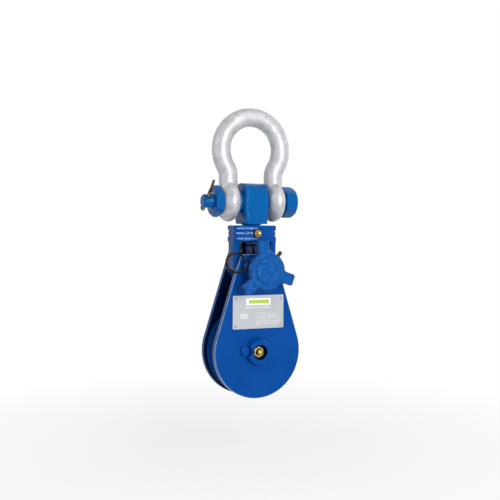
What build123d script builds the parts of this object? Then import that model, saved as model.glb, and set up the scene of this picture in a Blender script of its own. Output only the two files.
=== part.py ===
"""Snatch block with a swinging side plate, hung from a bow shackle.

Millimetres, Z up. The origin is on the inside crown of the bow, where a hook or a
sling carries the block. X runs along the shackle bolt, towards its head. The swinging
plate and the locking knob are on the -Y side, the fixed plate is on the +Y side.
"""
import os
from math import acos, atan2, cos, degrees, hypot, radians, sin, sqrt, tan

from build123d import *

os.makedirs("parts", exist_ok=True)

# Bow shackle
bow_bar = 20.5
bow_inside_width = 50.8
bow_inside_length = 82.4
bow_side_play = 1.1
jaw_width = 34.5
eye_width = 19.6
eye_bulge_width = 23.8
eye_diameter = 44.4
waist_radius = 15.6

# Shackle bolt, nut and split pin
bolt_diameter = 22.2
bolt_hole_play = 0.5
hinge_play = 0.1
bolt_hex = 30.0
bolt_hex_turn = 27.0
bolt_head_height = 13.2
nut_height = 9.4
bolt_tail_diameter = 14.8
bolt_tail_length = 11.0
tail_chamfer = 1.5
cotter_wire = 1.6
cotter_hole_play = 0.25
cotter_slant = 35.0
cotter_from_nut = 6.4
cotter_long_leg = 29.8
cotter_short_leg = 19.0
cotter_eye_radius = 2.4
cotter_neck_radius = 2.4
cotter_leg_gap = 0.15
cotter_bend_radius = 5.0
cotter_long_bend = 14.0
cotter_short_bend = 30.0
cotter_long_tip = 20.0
cotter_short_tip = 4.0

# Swivel head, its shank and what holds the shank
head_eye_radius = 20.2
head_depth = 31.4
head_drop = 24.5
head_width_top = 24.6
head_width_middle = 29.4
head_width_bottom = 26.2
head_edge = 3.8
neck_gap = 1.5
shank_diameter = 22.0
bearing_diameter = 18.0
thread_diameter = 16.0
running_play = 0.08
shank_end_chamfer = 1.2
shank_end_beyond_nut = 1.0
washer_diameter = 25.2
washer_thickness = 3.3
swivel_end_float = 0.2
swivel_nut_diameter = 24.8
swivel_nut_height = 13.4
swivel_nut_chamfer = 1.2
swivel_pin_diameter = 5.0
swivel_pin_inset = 0.4

# Side plates
plate_thickness = 6.0
plate_gap = 26.1
plate_radius = 50.5
plate_inside_crosshead = 0.05
front_plate_over_clamp = 16.8
rear_plate_over_clamp = 28.3
plate_corner = 5.0
plate_edge = 0.6

# Crosshead
crosshead_above_clamp = 47.9
crosshead_width = 50.8
crosshead_front_depth = 10.9
crosshead_rear_depth = 9.4
crosshead_belly_depth = 34.0
crosshead_front_corner = 2.0
crosshead_rear_corner = 6.5
crosshead_block_height = 18.0
crosshead_wall = 7.0
window_corner = 3.0
strip_end_over_clamp = 1.1
foot_width = 28.0
foot_under_clamp = 16.9
foot_corner = 8.0
web_over_clamp = 10.2
clamp_boss_radius = 16.0
slide_gap = 0.3
crosshead_edge = 1.2
ridge_groove = 0.9
groove_height = 2.6
upper_groove_drop = 5.0
lower_groove_drop = 9.9
band_recess = 0.4
fixing_bolt_diameter = 8.0
fixing_bolt_inset = 10.9
fixing_bolt_over_clamp = 1.3
fixing_bolt_depth = 16.0
fixing_bolt_hex = 13.0
fixing_bolt_head = 5.3

# Locking knob, clamp screw and pins
clamp_height = 88.7
clamp_diameter = 14.0
clamp_screw_end_gap = 1.0
slot_play = 0.4
slot_turn = 30.0
hub_radius = 16.2
hub_length = 16.7
flange_radius = 20.0
flange_thickness = 8.0
dome_radius = 14.5
dome_height = 2.4
lug_reach = 32.6
lug_root_width = 14.0
lug_tip_width = 12.2
lug_thickness = 7.0
lug_count = 3
lug_start = 100.0
lug_rounding = 2.5
knob_rounding = 1.5
screw_cap = 1.6
screw_chamfer = 1.0
spring_pin_diameter = 4.0
spring_pin_wall = 0.8
spring_pin_slot = 0.9
spring_pin_angle = 50.0
spring_pin_reach = 25.8
spring_pin_seat = 3.0

# Lock pin and its pull ring
lock_pin_diameter = 5.0
lock_pin_slope = 15.0
lock_pin_play = 0.1
lock_pin_past_hub = 0.6
lock_pin_chamfer = 0.6
lock_head_diameter = 7.0
lock_head_start = 0.4
lock_head_length = 4.2
ring_wire = 2.2
ring_loop_radius = 10.25
ring_loop_distance = 13.7
ring_shoulder = 4.9
ring_bend_radius = 2.0
ring_end_depth = 1.3
ring_hole_play = 0.15

# Axle
axle_diameter = 22.0
axle_head_diameter = 27.6
axle_head_height = 3.2
axle_recess_diameter = 16.4
axle_recess_depth = 7.5
axle_chamfer = 1.0
axle_thread_diameter = 18.0
axle_nut_hex = 27.0
axle_nut_height = 9.0
axle_end_beyond_nut = 1.5
keeper_head_diameter = 11.6
keeper_head_height = 2.6
keeper_shank_diameter = 5.0
keeper_offset = 15.3
keeper_angle = 175.0
keeper_notch_play = 0.15

# Sheave
sheave_diameter = 95.0
sheave_rim_width = 22.0
rope_diameter = 12.0
groove_depth = 11.5
groove_play = 0.3
groove_flank = 24.0
sheave_hub_width = 23.0
sheave_hub_radius = 19.0
web_recess_depth = 5.0
web_rim_thickness = 5.0
bush_wall = 3.0
side_washer_diameter = 34.0
side_washer_thickness = 1.2
washer_play = 0.1

# Name plate and its rivets
label_width = 60.4
label_height = 36.0
label_thickness = 0.8
label_middle = 43.2
label_corner = 1.2
rivet_inset = 3.2
rivet_diameter = 2.0
rivet_head_diameter = 3.0
rivet_head_height = 0.9
rivet_depth = 4.0

# Grease nipples
nipple_thread = 6.0
nipple_thread_depth = 4.0
nipple_hex_height = 3.0
nipple_length = 8.0
crosshead_nipple_hex = 7.0
crosshead_nipple_ball = 4.8
axle_nipple_hex = 10.0
axle_nipple_ball = 6.5
nipple_recess_diameter = 10.0
nipple_seat_wall = 5.8
spot_face_diameter = 13.2
spot_face_depth = 0.6
nipple_drop = 8.8
grease_way = 2.5

# Heights, all from the crown downwards
bolt_z = -bow_inside_length
head_under_z = bolt_z - head_drop
crosshead_top_z = head_under_z - neck_gap
clamp_z = crosshead_top_z - crosshead_above_clamp
sheave_z = clamp_z - clamp_height
fixing_z = clamp_z + fixing_bolt_over_clamp
fixing_bolt_spread = crosshead_width - 2 * fixing_bolt_inset
window_top_z = crosshead_top_z - crosshead_block_height
web_top_z = clamp_z + web_over_clamp
washer_low_z = window_top_z - washer_thickness
swivel_nut_top_z = washer_low_z - swivel_end_float
swivel_nut_low_z = swivel_nut_top_z - swivel_nut_height
swivel_pin_z = (swivel_nut_top_z + swivel_nut_low_z) / 2

# Depths, measured towards the viewer of the swinging plate
inner_face = plate_gap / 2
plate_face = inner_face + plate_thickness
knob_foot = plate_face + slide_gap
flange_back = knob_foot + hub_length
flange_front = flange_back + flange_thickness

bolt_axis = Axis((0, 0, bolt_z), (1, 0, 0))
sheave_axis = Axis((0, 0, sheave_z), (0, 1, 0))


def hexagon_head(place, across_flats, height, turn, turned_ends=1):
    """A hexagon that stands on a plane, with the corners of its ends turned down.

    One turned end is the outer end of a bolt head, and two are both ends of a nut.
    """
    corner_radius = across_flats / sqrt(3)
    with BuildPart() as turned:
        with BuildSketch(place):
            Circle(corner_radius)
        extrude(amount=height)
        rims = turned.edges().filter_by(GeomType.CIRCLE).sort_by(
            Axis(place.origin, place.z_dir))
        chamfer(rims[-turned_ends:], corner_radius - across_flats / 2)
    with BuildPart() as head:
        with BuildSketch(place):
            RegularPolygon(across_flats / 2, 6, major_radius=False, rotation=turn)
        extrude(amount=height)
        add(turned.part, mode=Mode.INTERSECT)
    return head.part


def grease_nipple(seat, across_flats, ball_diameter):
    """A grease nipple screwed in at a plane: thread, hexagon, neck and ball."""
    ball_middle = nipple_length - ball_diameter / 2
    with BuildPart() as nipple:
        with BuildSketch(seat):
            Circle(nipple_thread / 2)
        extrude(amount=-nipple_thread_depth)
        with BuildSketch(seat):
            RegularPolygon(across_flats / 2, 6, major_radius=False)
        extrude(amount=nipple_hex_height)
        with BuildSketch(seat.offset(nipple_hex_height)):
            Circle(across_flats * 0.4)
        with BuildSketch(seat.offset(ball_middle)):
            Circle(ball_diameter * 0.35)
        loft()
        with Locations(seat.offset(ball_middle)):
            Sphere(ball_diameter / 2)
    return nipple.part


def plate_outline(top_over_clamp):
    """The teardrop of a side plate: a round foot and straight sides that lean in.

    The sides touch the round foot and are as far apart as the crosshead is wide at the
    height of the clamp screw.
    """
    half = crosshead_width / 2 - plate_inside_crosshead
    lean = atan2(clamp_height, half) - acos(plate_radius / hypot(clamp_height, half))
    top = clamp_height + top_over_clamp
    tangent_x = plate_radius * cos(lean)
    tangent_z = sheave_z + plate_radius * sin(lean)
    top_x = plate_radius / cos(lean) - top * tan(lean)
    with BuildSketch() as outline:
        with BuildLine():
            Polyline((tangent_x, tangent_z), (top_x, sheave_z + top),
                     (-top_x, sheave_z + top), (-tangent_x, tangent_z))
            ThreePointArc((-tangent_x, tangent_z), (0, sheave_z - plate_radius),
                          (tangent_x, tangent_z))
        make_face()
        fillet(outline.vertices().group_by(Axis.Y)[-1], plate_corner)
    return outline.sketch


def crosshead_front():
    """The outline of the crosshead from the front, under its top block."""
    half = crosshead_width / 2
    with BuildSketch() as outline:
        with BuildLine():
            Polyline((half, window_top_z), (half, strip_end_z), (foot_width / 2, foot_z),
                     (-foot_width / 2, foot_z), (-half, strip_end_z), (-half, window_top_z),
                     close=True)
        make_face()
        fillet(outline.vertices().group_by(Axis.Y)[0], foot_corner)
    return outline.sketch


def crosshead_plan(inset):
    """The belly-shaped section of the top block from above, drawn in by inset."""
    half = crosshead_width / 2 - inset
    front = -crosshead_front_depth + inset
    rear = crosshead_rear_depth - inset
    belly = crosshead_belly_depth / 2 - inset
    with BuildSketch() as plan:
        with BuildLine():
            ThreePointArc((-half, front), (0, -belly), (half, front))
            Line((half, front), (half, rear))
            ThreePointArc((half, rear), (0, belly), (-half, rear))
            Line((-half, rear), (-half, front))
        make_face()
        fillet(plan.vertices().group_by(Axis.Y)[0], crosshead_front_corner)
        fillet(plan.vertices().group_by(Axis.Y)[-1], crosshead_rear_corner)
    return plan.sketch


def strip_plan():
    """The section of the two side strips from above, over the window between them."""
    middle_y = (crosshead_rear_depth - crosshead_front_depth) / 2
    with BuildSketch() as plan:
        with Locations((0, middle_y)):
            Rectangle(crosshead_width, crosshead_front_depth + crosshead_rear_depth)
        fillet(plan.vertices().group_by(Axis.Y)[0], crosshead_front_corner)
        fillet(plan.vertices().group_by(Axis.Y)[-1], crosshead_rear_corner)
    return plan.sketch


# Shackle bow: one bent bar with a round eye at each end
bow_radius = (bow_inside_width + bow_bar) / 2
bow_z = -bow_inside_width / 2
leg_x = (jaw_width + eye_width) / 2
waist_x = leg_x + waist_radius
waist_z = bow_z - sqrt((bow_radius + waist_radius) ** 2 - waist_x ** 2)
waist_turn = degrees(atan2(bow_z - waist_z, waist_x))
eye_face = jaw_width / 2 + eye_width
head_seat = eye_face - bow_side_play
nut_seat = eye_face + bow_side_play
seat_radius = bolt_hex / sqrt(3) + bolt_hole_play
bow_plane = Plane((-bow_side_play, 0, 0), x_dir=(1, 0, 0), z_dir=(0, -1, 0))

with BuildPart() as shackle_bow:
    with BuildLine(bow_plane) as bow_line:
        leg = Line((leg_x, bolt_z), (leg_x, waist_z))
        waist = JernArc(leg @ 1, leg % 1, waist_radius, -waist_turn)
        crown = JernArc(waist @ 1, waist % 1, bow_radius, 180 + 2 * waist_turn)
        far_waist = JernArc(crown @ 1, crown % 1, waist_radius, -waist_turn)
        Line(far_waist @ 1, (-leg_x, bolt_z))
    with BuildSketch(Plane((leg_x - bow_side_play, 0, bolt_z), z_dir=(0, 0, 1))):
        Circle(bow_bar / 2)
    sweep(path=bow_line.wires()[0])
    with BuildSketch(bow_plane):
        with Locations((leg_x, bolt_z), (-leg_x, bolt_z)):
            Ellipse(eye_bulge_width / 2, eye_diameter / 2)
        with Locations((leg_x, bolt_z + eye_diameter / 4), (-leg_x, bolt_z + eye_diameter / 4)):
            Rectangle(eye_width, eye_diameter / 2, mode=Mode.INTERSECT)
    revolve(axis=bolt_axis)
    with BuildSketch(Plane.YZ.offset(head_seat)):
        with Locations((0, bolt_z)):
            Circle(seat_radius)
    extrude(amount=eye_width, mode=Mode.SUBTRACT)
    with BuildSketch(Plane.YZ.offset(-nut_seat)):
        with Locations((0, bolt_z)):
            Circle(seat_radius)
    extrude(amount=-eye_width, mode=Mode.SUBTRACT)
    with BuildSketch(Plane.YZ.offset(-nut_seat)):
        with Locations((0, bolt_z)):
            Circle(bolt_diameter / 2 + bolt_hole_play)
    extrude(amount=nut_seat + head_seat, mode=Mode.SUBTRACT)
shackle_bow.part.label = "shackle_bow"
export_step(shackle_bow.part, "parts/shackle_bow.step")

# Shackle bolt: hexagon head at +X, thinner drilled tail past the nut at -X
nut_face = nut_seat + nut_height
tail_end = nut_face + bolt_tail_length
cotter_x = -nut_face - cotter_from_nut
cotter_up = Vector(0, -cos(radians(cotter_slant)), sin(radians(cotter_slant)))
cotter_origin = Vector(cotter_x, 0, bolt_z)
cotter_hole_radius = cotter_wire + cotter_leg_gap + cotter_hole_play

with BuildPart() as shackle_bolt:
    with BuildSketch(Plane.YZ.offset(-nut_face)):
        with Locations((0, bolt_z)):
            Circle(bolt_diameter / 2)
    extrude(amount=nut_face + eye_face)
    with BuildSketch(Plane.YZ.offset(-tail_end)):
        with Locations((0, bolt_z)):
            Circle(bolt_tail_diameter / 2)
    extrude(amount=bolt_tail_length)
    tail_rim = shackle_bolt.edges().filter_by(GeomType.CIRCLE).sort_by(Axis.X)[0]
    chamfer(tail_rim, tail_chamfer)
    add(hexagon_head(Plane((eye_face, 0, bolt_z), x_dir=(0, 1, 0), z_dir=(1, 0, 0)),
                     bolt_hex, bolt_head_height, bolt_hex_turn))
    with BuildSketch(Plane(cotter_origin, x_dir=(1, 0, 0), z_dir=cotter_up)):
        Circle(cotter_hole_radius)
    extrude(amount=bolt_diameter, both=True, mode=Mode.SUBTRACT)
shackle_bolt.part.label = "shackle_bolt"
export_step(shackle_bolt.part, "parts/shackle_bolt.step")

with BuildPart() as shackle_nut:
    add(hexagon_head(Plane((-nut_seat, 0, bolt_z), x_dir=(0, 1, 0), z_dir=(-1, 0, 0)),
                     bolt_hex, nut_height, bolt_hex_turn, 2))
    with BuildSketch(Plane.YZ.offset(-nut_face)):
        with Locations((0, bolt_z)):
            Circle(bolt_diameter / 2)
    extrude(amount=nut_height, mode=Mode.SUBTRACT)
shackle_nut.part.label = "shackle_nut"
export_step(shackle_nut.part, "parts/shackle_nut.step")

# Split pin: one half-round wire, bent round its eye, with legs of two lengths
cotter_side = (-1, 0, 0)
cotter_plane = Plane(cotter_origin, x_dir=cotter_up, z_dir=cotter_side)
neck_turn = degrees(acos((cotter_leg_gap + cotter_neck_radius)
                         / (cotter_eye_radius + cotter_neck_radius)))
neck_s = -bolt_tail_diameter / 2 - cotter_hole_play


long_turn = radians(cotter_long_bend)
long_bend_away = cotter_leg_gap + cotter_bend_radius * (1 - cos(long_turn))
long_bend_s = cotter_long_leg - cotter_long_tip * cos(long_turn)
long_tip_away = long_bend_away + cotter_long_tip * sin(long_turn)
short_turn = radians(cotter_short_bend)
short_bend_s = (cotter_short_leg - cotter_short_tip * cos(short_turn)
                - cotter_bend_radius * sin(short_turn))

with BuildPart() as cotter_pin:
    with BuildLine(cotter_plane) as cotter_line:
        tip = Line((cotter_long_leg, long_tip_away), (long_bend_s, long_bend_away))
        bend = JernArc(tip @ 1, tip % 1, cotter_bend_radius, cotter_long_bend)
        long_leg = Line(bend @ 1, (neck_s, cotter_leg_gap))
        neck = JernArc(long_leg @ 1, long_leg % 1, cotter_neck_radius, -neck_turn)
        eye = JernArc(neck @ 1, neck % 1, cotter_eye_radius, 180 + 2 * neck_turn)
        far_neck = JernArc(eye @ 1, eye % 1, cotter_neck_radius, -neck_turn)
        short_leg = Line(far_neck @ 1, (short_bend_s, -cotter_leg_gap))
        far_bend = JernArc(short_leg @ 1, short_leg % 1, cotter_bend_radius, -cotter_short_bend)
        Line(far_bend @ 1, far_bend @ 1 + (far_bend % 1) * cotter_short_tip)
    with BuildSketch(Plane(tip @ 0, x_dir=cotter_side, z_dir=tip % 0)):
        with BuildLine():
            CenterArc((0, 0), cotter_wire, 0, 180)
            Line((-cotter_wire, 0), (cotter_wire, 0))
        make_face()
    sweep(path=cotter_line.wires()[0])
cotter_pin.part.label = "cotter_pin"
export_step(cotter_pin.part, "parts/cotter_pin.step")

# Swivel head: a flattened round eye with barrel sides, and a stepped shank
neck_foot_z = crosshead_top_z + slide_gap
shank_end_z = swivel_nut_low_z - shank_end_beyond_nut

with BuildPart() as swivel_head:
    with BuildSketch(Plane.YZ.offset(-head_width_middle / 2)):
        with Locations((0, bolt_z)):
            Circle(head_eye_radius)
        with Locations((0, bolt_z - head_drop / 2)):
            Rectangle(head_depth, head_drop)
        with Locations((0, bolt_z)):
            Rectangle(head_depth, 2 * head_drop + 2 * head_eye_radius, mode=Mode.INTERSECT)
    extrude(amount=head_width_middle)
    with BuildSketch(Plane.XZ.offset(-head_depth)):
        head_top_z = bolt_z + head_drop
        with BuildLine():
            ThreePointArc((head_width_bottom / 2, head_under_z), (head_width_middle / 2, bolt_z),
                          (head_width_top / 2, head_top_z))
            Line((head_width_top / 2, head_top_z), (-head_width_top / 2, head_top_z))
            ThreePointArc((-head_width_top / 2, head_top_z), (-head_width_middle / 2, bolt_z),
                          (-head_width_bottom / 2, head_under_z))
            Line((-head_width_bottom / 2, head_under_z), (head_width_bottom / 2, head_under_z))
        make_face()
    extrude(amount=2 * head_depth, mode=Mode.INTERSECT)
    side_faces = swivel_head.faces().sort_by(Axis.X)
    fillet(side_faces[-1].edges() + side_faces[0].edges(), head_edge)
    with BuildSketch(Plane.XY.offset(head_under_z)):
        Circle(shank_diameter / 2)
    extrude(amount=neck_foot_z - head_under_z)
    with BuildSketch(Plane.XY.offset(neck_foot_z)):
        Circle(bearing_diameter / 2)
    extrude(amount=swivel_nut_top_z - neck_foot_z)
    with BuildSketch(Plane.XY.offset(swivel_nut_top_z)):
        Circle(thread_diameter / 2)
    extrude(amount=shank_end_z - swivel_nut_top_z)
    chamfer(swivel_head.edges().filter_by(GeomType.CIRCLE).sort_by(Axis.Z)[0], shank_end_chamfer)
    with BuildSketch(Plane.YZ.offset(-head_width_middle)):
        with Locations((0, bolt_z)):
            Circle(bolt_diameter / 2 + hinge_play)
    extrude(amount=2 * head_width_middle, mode=Mode.SUBTRACT)
    with BuildSketch(Plane.YZ.offset(-swivel_nut_diameter)):
        with Locations((0, swivel_pin_z)):
            Circle(swivel_pin_diameter / 2)
    extrude(amount=2 * swivel_nut_diameter, mode=Mode.SUBTRACT)
swivel_head.part.label = "swivel_head"
export_step(swivel_head.part, "parts/swivel_head.step")

with BuildPart() as swivel_nut:
    with BuildSketch(Plane.XY.offset(swivel_nut_low_z)):
        Circle(swivel_nut_diameter / 2)
    extrude(amount=swivel_nut_height)
    chamfer(swivel_nut.edges().filter_by(GeomType.CIRCLE), swivel_nut_chamfer)
    with BuildSketch(Plane.XY.offset(swivel_nut_low_z)):
        Circle(thread_diameter / 2)
    extrude(amount=swivel_nut_height, mode=Mode.SUBTRACT)
    with BuildSketch(Plane.YZ.offset(-swivel_nut_diameter)):
        with Locations((0, swivel_pin_z)):
            Circle(swivel_pin_diameter / 2)
    extrude(amount=2 * swivel_nut_diameter, mode=Mode.SUBTRACT)
swivel_nut.part.label = "swivel_nut"
export_step(swivel_nut.part, "parts/swivel_nut.step")

with BuildPart() as swivel_nut_pin:
    with BuildSketch(Plane.YZ.offset(-swivel_nut_diameter / 2 + swivel_pin_inset)):
        with Locations((0, swivel_pin_z)):
            Circle(swivel_pin_diameter / 2)
    extrude(amount=swivel_nut_diameter - 2 * swivel_pin_inset)
swivel_nut_pin.part.label = "swivel_nut_pin"
export_step(swivel_nut_pin.part, "parts/swivel_nut_pin.step")

with BuildPart() as thrust_washer:
    with BuildSketch(Plane.XY.offset(washer_low_z)):
        Circle(washer_diameter / 2)
        Circle(bearing_diameter / 2 + running_play, mode=Mode.SUBTRACT)
    extrude(amount=washer_thickness)
thrust_washer.part.label = "thrust_washer"
export_step(thrust_washer.part, "parts/thrust_washer.step")

# Crosshead: ridged top block round the shank, window, and a foot round the clamp screw
strip_end_z = clamp_z + strip_end_over_clamp
foot_z = clamp_z - foot_under_clamp
web_middle_z = (web_top_z + foot_z) / 2
nipple_z = crosshead_top_z - nipple_drop
nipple_seat_y = bearing_diameter / 2 + nipple_seat_wall

with BuildPart() as crosshead:
    with BuildSketch(Plane.XY.offset(window_top_z)):
        add(crosshead_plan(0))
    extrude(amount=crosshead_block_height)
    fillet(crosshead.faces().sort_by(Axis.Z)[-1].edges(), crosshead_edge)
    with BuildSketch(Plane.XY.offset(crosshead_top_z - upper_groove_drop - groove_height)):
        Rectangle(2 * crosshead_width, 2 * crosshead_width)
        add(crosshead_plan(ridge_groove), mode=Mode.SUBTRACT)
    extrude(amount=groove_height, mode=Mode.SUBTRACT)
    with BuildSketch(Plane.XY.offset(crosshead_top_z - lower_groove_drop - groove_height)):
        Rectangle(2 * crosshead_width, 2 * crosshead_width)
        add(crosshead_plan(ridge_groove), mode=Mode.SUBTRACT)
    extrude(amount=groove_height, mode=Mode.SUBTRACT)
    with BuildSketch(Plane.XY.offset(crosshead_top_z - lower_groove_drop)):
        Rectangle(2 * crosshead_width, 2 * crosshead_width)
        add(crosshead_plan(band_recess), mode=Mode.SUBTRACT)
    extrude(amount=lower_groove_drop - upper_groove_drop - groove_height, mode=Mode.SUBTRACT)
    with BuildSketch(Plane.XZ.offset(-crosshead_rear_depth)):
        add(crosshead_front())
    extrude(amount=crosshead_rear_depth + crosshead_front_depth)
    with BuildSketch(Plane.XY.offset(foot_z)):
        Rectangle(2 * crosshead_width, 2 * crosshead_width)
        add(strip_plan(), mode=Mode.SUBTRACT)
    extrude(amount=window_top_z - foot_z, mode=Mode.SUBTRACT)
    with BuildSketch(Plane.XZ.offset(-crosshead_belly_depth / 2)) as window:
        with Locations((0, (window_top_z + web_top_z) / 2)):
            Rectangle(crosshead_width - 2 * crosshead_wall, window_top_z - web_top_z)
        fillet(window.vertices().group_by(Axis.Y)[0], window_corner)
    extrude(amount=crosshead_belly_depth, mode=Mode.SUBTRACT)
    with BuildSketch(Plane.XZ.offset(-inner_face)):
        add(crosshead_front())
        with Locations((0, web_middle_z)):
            Rectangle(2 * crosshead_width, web_top_z - foot_z, mode=Mode.INTERSECT)
    extrude(amount=inner_face)
    with BuildSketch(Plane.XZ):
        with Locations((0, clamp_z)):
            Circle(clamp_boss_radius)
        with Locations((0, web_middle_z)):
            Rectangle(2 * crosshead_width, web_top_z - foot_z, mode=Mode.INTERSECT)
    extrude(amount=inner_face - slide_gap)
    with BuildSketch(Plane.XY.offset(window_top_z)):
        Circle(bearing_diameter / 2 + running_play)
    extrude(amount=crosshead_block_height, mode=Mode.SUBTRACT)
    with BuildSketch(Plane.XZ.offset(-inner_face)):
        with Locations((0, clamp_z)):
            Circle(clamp_diameter / 2 + running_play)
    extrude(amount=2 * inner_face, mode=Mode.SUBTRACT)
    with BuildSketch(Plane.XZ.offset(-inner_face)):
        with Locations((fixing_bolt_spread / 2, fixing_z), (-fixing_bolt_spread / 2, fixing_z)):
            Circle(fixing_bolt_diameter / 2 + running_play)
    extrude(amount=fixing_bolt_depth, mode=Mode.SUBTRACT)
    with BuildSketch(Plane.XZ.offset(nipple_seat_y)):
        with Locations((0, nipple_z)):
            Circle(nipple_recess_diameter / 2)
    extrude(amount=crosshead_belly_depth, mode=Mode.SUBTRACT)
    with BuildSketch(Plane.XZ.offset(crosshead_belly_depth / 2 - spot_face_depth)):
        with Locations((0, nipple_z)):
            Circle(spot_face_diameter / 2)
    extrude(amount=crosshead_belly_depth, mode=Mode.SUBTRACT)
    with BuildSketch(Plane.XZ.offset(nipple_seat_y)):
        with Locations((0, nipple_z)):
            Circle(nipple_thread / 2)
    extrude(amount=-nipple_thread_depth, mode=Mode.SUBTRACT)
    with BuildSketch(Plane.XZ):
        with Locations((0, nipple_z)):
            Circle(grease_way / 2)
    extrude(amount=nipple_seat_y, mode=Mode.SUBTRACT)
crosshead.part.label = "crosshead"
export_step(crosshead.part, "parts/crosshead.step")

crosshead_nipple = grease_nipple(Plane((0, -nipple_seat_y, nipple_z), z_dir=(0, -1, 0)),
                                 crosshead_nipple_hex, crosshead_nipple_ball)
crosshead_nipple.label = "crosshead_nipple"
export_step(crosshead_nipple, "parts/crosshead_nipple.step")

with BuildPart() as crosshead_bolts:
    for side in (1, -1):
        add(hexagon_head(Plane((side * fixing_bolt_spread / 2, plate_face, fixing_z),
                               x_dir=(1, 0, 0), z_dir=(0, 1, 0)),
                         fixing_bolt_hex, fixing_bolt_head, 0))
    with BuildSketch(Plane.XZ.offset(-plate_face)):
        with Locations((fixing_bolt_spread / 2, fixing_z), (-fixing_bolt_spread / 2, fixing_z)):
            Circle(fixing_bolt_diameter / 2)
    extrude(amount=plate_thickness + fixing_bolt_depth - slide_gap)
crosshead_bolts.part.label = "crosshead_bolts"
export_step(crosshead_bolts.part, "parts/crosshead_bolts.step")

# Side plates
with BuildPart() as rear_plate:
    with BuildSketch(Plane.XZ.offset(-plate_face)):
        add(plate_outline(rear_plate_over_clamp))
    extrude(amount=plate_thickness)
    chamfer(rear_plate.faces().sort_by(Axis.Y)[-1].edges(), plate_edge)
    with BuildSketch(Plane.XZ.offset(-plate_face)):
        with Locations((0, sheave_z)):
            Circle(axle_diameter / 2 + running_play)
        with Locations((fixing_bolt_spread / 2, fixing_z), (-fixing_bolt_spread / 2, fixing_z)):
            Circle(fixing_bolt_diameter / 2 + running_play)
    extrude(amount=plate_thickness, mode=Mode.SUBTRACT)
rear_plate.part.label = "rear_plate"
export_step(rear_plate.part, "parts/rear_plate.step")

label_z = sheave_z + label_middle
keeper_x = keeper_offset * cos(radians(keeper_angle))
keeper_z = sheave_z + keeper_offset * sin(radians(keeper_angle))
rivet_span = label_width - 2 * rivet_inset
rivet_rise = label_height - 2 * rivet_inset

with BuildLine() as slot_line:
    CenterArc((0, sheave_z), clamp_height, 90 - slot_turn, slot_turn)

with BuildPart() as front_plate:
    with BuildSketch(Plane.XZ.offset(inner_face)):
        add(plate_outline(front_plate_over_clamp))
    extrude(amount=plate_thickness)
    chamfer(front_plate.faces().sort_by(Axis.Y)[0].edges(), plate_edge)
    with BuildSketch(Plane.XZ.offset(inner_face)):
        SlotArc(slot_line.edges()[0], clamp_diameter + 2 * slot_play)
        with Locations((0, sheave_z)):
            Circle(axle_diameter / 2 + running_play)
        with Locations((keeper_x, keeper_z)):
            Circle(keeper_shank_diameter / 2)
    extrude(amount=plate_thickness, mode=Mode.SUBTRACT)
    with BuildSketch(Plane.XZ.offset(plate_face - rivet_depth)):
        with Locations((0, label_z)):
            with GridLocations(rivet_span, rivet_rise, 2, 2):
                Circle(rivet_diameter / 2)
    extrude(amount=rivet_depth, mode=Mode.SUBTRACT)
front_plate.part.label = "front_plate"
export_step(front_plate.part, "parts/front_plate.step")

with BuildPart() as name_plate:
    with BuildSketch(Plane.XZ.offset(plate_face)):
        with Locations((0, label_z)):
            RectangleRounded(label_width, label_height, label_corner)
            with GridLocations(rivet_span, rivet_rise, 2, 2):
                Circle(rivet_diameter / 2, mode=Mode.SUBTRACT)
    extrude(amount=label_thickness)
name_plate.part.label = "name_plate"
export_step(name_plate.part, "parts/name_plate.step")

label_face = plate_face + label_thickness
with BuildPart() as name_plate_rivets:
    with BuildSketch(Plane.XZ.offset(plate_face - rivet_depth)):
        with Locations((0, label_z)):
            with GridLocations(rivet_span, rivet_rise, 2, 2):
                Circle(rivet_diameter / 2)
    extrude(amount=rivet_depth + label_thickness)
    with BuildSketch(Plane.XZ.offset(label_face)):
        with Locations((0, label_z)):
            with GridLocations(rivet_span, rivet_rise, 2, 2):
                Circle(rivet_head_diameter / 2)
    extrude(amount=rivet_head_height)
    head_rims = name_plate_rivets.faces().group_by(Axis.Y)[0].edges()
    fillet(head_rims, rivet_head_height * 0.7)
name_plate_rivets.part.label = "name_plate_rivets"
export_step(name_plate_rivets.part, "parts/name_plate_rivets.step")

with BuildPart() as keeper_screw:
    with BuildSketch(Plane.XZ.offset(inner_face)):
        with Locations((keeper_x, keeper_z)):
            Circle(keeper_shank_diameter / 2)
    extrude(amount=plate_thickness)
    with BuildSketch(Plane.XZ.offset(plate_face)):
        with Locations((keeper_x, keeper_z)):
            Circle(keeper_head_diameter / 2)
    extrude(amount=keeper_head_height)
    fillet(keeper_screw.faces().sort_by(Axis.Y)[0].edges(), keeper_head_height * 0.7)
keeper_screw.part.label = "keeper_screw"
export_step(keeper_screw.part, "parts/keeper_screw.step")

# Axle: recessed round head in front, notched for the keeper screw, and a nut behind
axle_head_face = plate_face + axle_head_height
axle_shoulder = plate_face + slide_gap
axle_nut_face = axle_shoulder + axle_nut_height
recess_floor = axle_head_face - axle_recess_depth

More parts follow.
